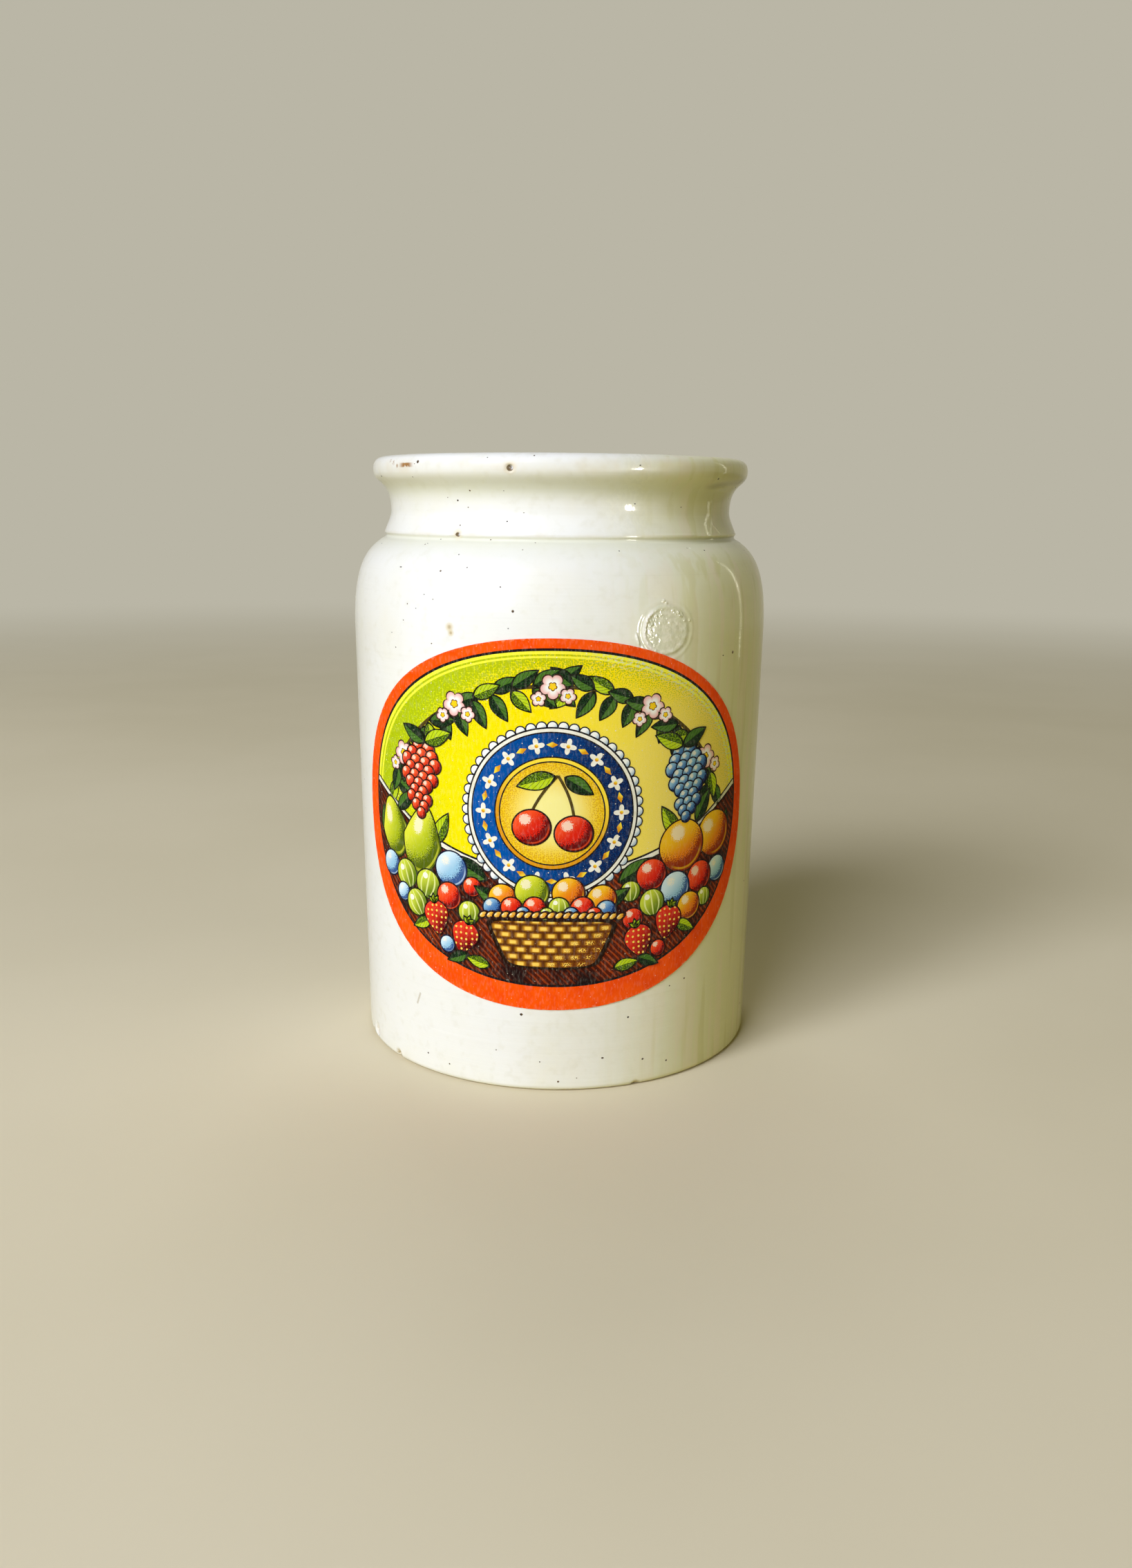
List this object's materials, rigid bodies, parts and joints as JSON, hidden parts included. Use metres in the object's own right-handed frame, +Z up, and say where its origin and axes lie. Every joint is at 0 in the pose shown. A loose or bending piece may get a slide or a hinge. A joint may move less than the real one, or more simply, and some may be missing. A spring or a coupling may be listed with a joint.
{
  "type": "stoneware jam jar",
  "caption": "Straight-sided glazed stoneware jar with a rounded shoulder, short neck and rolled rim, and an oval paper label on its wall; holds preserves.",
  "frame": {"origin": "centre of the base, in the plane that the jar stands on", "axes": "+Z up along the axis of turning; -Y points out through the middle of the label; +X is to the right of someone who looks at the label"},
  "size_m": [0.0968, 0.0973, 0.137],
  "materials": {
    "stoneware_glaze": "gloss",
    "label_paper": "satin"
  },
  "bodies": {
    "root": {"jar": "stoneware_glaze", "label": "label_paper"}
  },
  "joints": []
}
